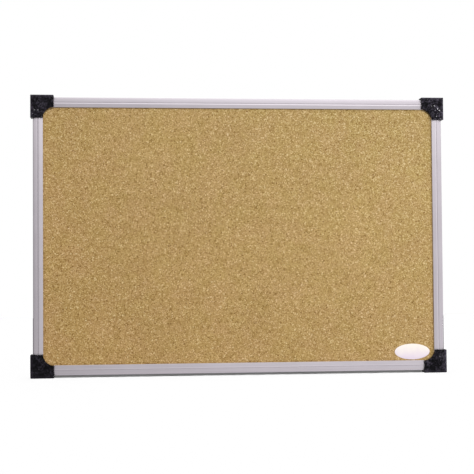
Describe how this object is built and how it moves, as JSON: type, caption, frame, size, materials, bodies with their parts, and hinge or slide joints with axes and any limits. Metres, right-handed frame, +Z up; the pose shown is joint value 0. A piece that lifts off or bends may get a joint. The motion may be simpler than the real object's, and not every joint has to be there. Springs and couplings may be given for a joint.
{
  "type": "cork pin board",
  "caption": "Landscape cork pin board in a slim aluminium frame with black corner caps and sliding keyhole hangers behind the top rail, for pins and badges.",
  "frame": {"origin": "centre of the wall plane, in which the backs of the four corner caps lie", "axes": "+X to the right as seen from the front, +Z up, the cork faces -Y"},
  "size_m": [0.607, 0.0174, 0.407],
  "materials": {
    "cork": "matte",
    "core": "matte",
    "backing": "matte",
    "label": "gloss",
    "rail": "satin",
    "corner_cap": "satin",
    "screw": "satin",
    "hanger": "satin"
  },
  "bodies": {
    "board": {"cork_sheet": "cork", "core_board": "core", "backing_sheet": "backing", "label": "label", "rail_top": "rail", "rail_bottom": "rail", "rail_left": "rail", "rail_right": "rail", "corner_cap_top_left": "corner_cap", "corner_cap_top_right": "corner_cap", "corner_cap_bottom_left": "corner_cap", "corner_cap_bottom_right": "corner_cap", "corner_screw_top_left_1": "screw", "corner_screw_top_left_2": "screw", "corner_screw_top_right_1": "screw", "corner_screw_top_right_2": "screw", "corner_screw_bottom_left_1": "screw", "corner_screw_bottom_left_2": "screw", "corner_screw_bottom_right_1": "screw", "corner_screw_bottom_right_2": "screw"},
    "left_hanger": {"hanger_left": "hanger"},
    "right_hanger": {"hanger_right": "hanger"}
  },
  "joints": [
    {"name": "left_hanger_slide", "type": "slide", "parent": "board", "child": "left_hanger", "axis": [1, 0, 0], "range_m": [-0.054, 0.182]},
    {"name": "right_hanger_slide", "type": "slide", "parent": "board", "child": "right_hanger", "axis": [1, 0, 0], "range_m": [-0.182, 0.054]}
  ]
}
